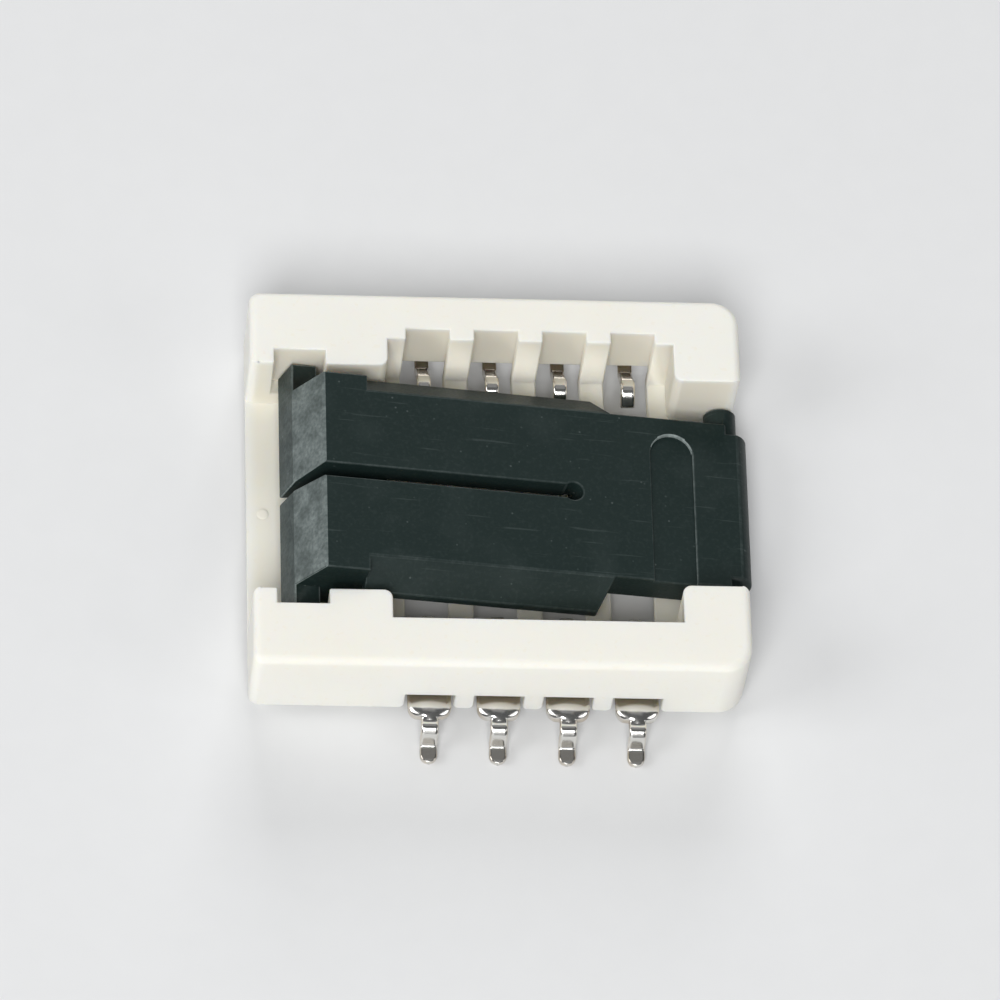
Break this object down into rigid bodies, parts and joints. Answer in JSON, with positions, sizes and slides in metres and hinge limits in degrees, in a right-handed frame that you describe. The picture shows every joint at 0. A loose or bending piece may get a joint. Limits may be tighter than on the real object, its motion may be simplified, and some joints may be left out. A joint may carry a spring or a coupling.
{
  "type": "ic socket",
  "caption": "Surface-mount IC socket: an open ivory plastic frame with a hinged black clamping lid over two facing rows of formed spring contacts with gull-wing solder tails.",
  "frame": {"origin": "centre of the housing's footprint, on the board plane under the standoff pads and the tails' feet", "axes": "+X from the latch end to the hinge end, +Y from the near wall to the far wall, +Z away from the board"},
  "size_m": [0.0093, 0.0098, 0.0023],
  "materials": {
    "housing": "fine moulded, ivory",
    "lid": "satin moulded, black",
    "contact": "stamped sheet, bright tin plate"
  },
  "bodies": {
    "base": {"housing": "housing", "contact_1": "contact", "contact_2": "contact", "contact_3": "contact", "contact_4": "contact", "contact_5": "contact", "contact_6": "contact", "contact_7": "contact", "contact_8": "contact"},
    "lid": {"lid": "lid"}
  },
  "joints": [
    {"name": "lid_hinge", "type": "hinge", "parent": "base", "child": "lid", "pos_m": [0.00427, 0, 0.00076], "axis": [0, 1, 0], "range_deg": [0, 100]}
  ]
}
